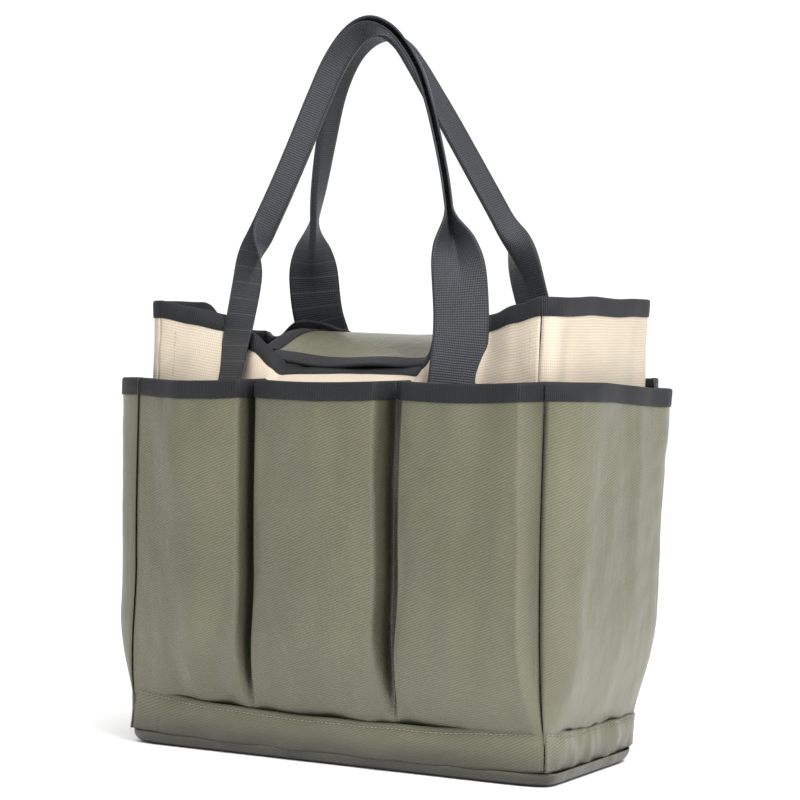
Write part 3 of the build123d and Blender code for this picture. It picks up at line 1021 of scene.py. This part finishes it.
def seam_tape_rows(side, hand, levels=60):
    """A tape folded into one upright corner inside the bag, over its seam."""
    rows = []
    for j in range(levels + 1):
        z = mix(SEAM_TAPE_FOOT, SEAM_TAPE_TOP, j / levels)
        lean_in = 3.2 + 0.4 * ripple(hand * 40.0, side * 40.0, z, 25.0, 5.0)
        corner = Vector((PANEL_END + 3.0, depth_at(z) - lean_in))
        row = []
        for k in range(9):
            a = SEAM_TAPE_HALF * (k - 4) / 4.0
            row.append(Vector((hand * (corner.x - max(-a, 0.0)), side * (corner.y - max(a, 0.0)), z)))
        rows.append(row)
    return rows


for number, (side, hand) in enumerate(((-1, -1), (-1, 1), (1, 1), (1, -1))):
    tape = grid_object("seam_tape_" + str(number), seam_tape_rows(side, hand), SEAM_TAPE_CLOTH, offset=0.0)
    place(tape, BODY, ["inner_seam_tapes"], TAPE_CLOTH)


# -------------------------------------------------------------- stage and light
# Direction from the camera past the bag, and the studio's brightness on the near and far side.
BEHIND = (-0.527, 0.85, 0.0)
NEAR_LIGHT = 0.36
FAR_LIGHT = 1.08


def make_stage(size=6.0):
    """A pale floor, just under the bag so that the two don't coincide."""
    corners = [(-size, -size, 0.0), (size, -size, 0.0), (size, size, 0.0), (-size, size, 0.0)]
    floor = new_object("floor", corners, [(0, 1, 2, 3)])
    floor.location.z = -0.0002
    n = Nodes("pale_floor")
    tone = n.ramp(n.noise(3.0), [(0.0, (0.93, 0.93, 0.93)), (1.0, (0.96, 0.96, 0.96))])
    n.link(tone, n.shader.inputs["Base Color"])
    n.shader.inputs["Roughness"].default_value = 0.9
    floor.data.materials.append(n.material)


def area_light(name, place_at, target, size, power):
    data = bpy.data.lights.new(name, "AREA")
    data.shape = "RECTANGLE"
    data.size, data.size_y = size
    data.energy = power
    light = bpy.data.objects.new(name, data)
    light.location = place_at
    light.rotation_euler = (Vector(target) - Vector(place_at)).to_track_quat("-Z", "Y").to_euler()
    bpy.context.scene.collection.objects.link(light)


def make_world():
    """A studio that is bright behind the bag and dimmer on the near side."""
    world = bpy.data.worlds.new("studio")
    bpy.context.scene.world = world
    world.use_nodes = True
    tree = world.node_tree
    coordinates = tree.nodes.new("ShaderNodeTexCoord")
    facing = tree.nodes.new("ShaderNodeVectorMath")
    facing.operation = "DOT_PRODUCT"
    facing.inputs[1].default_value = BEHIND
    tree.links.new(coordinates.outputs["Generated"], facing.inputs[0])
    spread = tree.nodes.new("ShaderNodeMapRange")
    spread.inputs["From Min"].default_value = -0.5
    spread.inputs["From Max"].default_value = 0.75
    spread.inputs["To Min"].default_value = NEAR_LIGHT
    spread.inputs["To Max"].default_value = FAR_LIGHT
    tree.links.new(facing.outputs["Value"], spread.inputs["Value"])
    background = tree.nodes["Background"]
    background.inputs["Color"].default_value = (1.0, 1.0, 1.0, 1.0)
    tree.links.new(spread.outputs["Result"], background.inputs["Strength"])


def sun_light(name, direction, strength, spread):
    data = bpy.data.lights.new(name, "SUN")
    data.energy = strength
    data.angle = math.radians(spread)
    light = bpy.data.objects.new(name, data)
    light.rotation_euler = Vector(direction).to_track_quat("-Z", "Y").to_euler()
    bpy.context.scene.collection.objects.link(light)


make_stage()
make_world()
sun_light("studio_light", (-0.35, 0.30, -1.0), 1.9, 50.0)
area_light("key", (1.05, -0.62, 1.15), (0.0, 0.0, 0.34), (0.45, 0.6), 26.0)
area_light("fill", (0.3, -1.5, 1.5), (0.0, 0.0, 0.3), (0.5, 0.6), 8.0)

# ---------------------------------------------------------------------- camera
AZIMUTH = math.radians(31.8)
TILT = math.radians(1.55)
DISTANCE = 1.684
EYE_HEIGHT = 0.302
LENS = 104.6
ASIDE = math.radians(0.26)
camera_data = bpy.data.cameras.new("camera")
camera_data.sensor_width = 36.0
camera_data.lens = LENS
camera = bpy.data.objects.new("camera", camera_data)
camera.location = (DISTANCE * math.sin(AZIMUTH), -DISTANCE * math.cos(AZIMUTH), EYE_HEIGHT)
camera.rotation_euler = (math.pi / 2 - TILT, 0.0, AZIMUTH - ASIDE)
bpy.context.scene.collection.objects.link(camera)
bpy.context.scene.camera = camera
bpy.context.scene.view_settings.view_transform = "Standard"
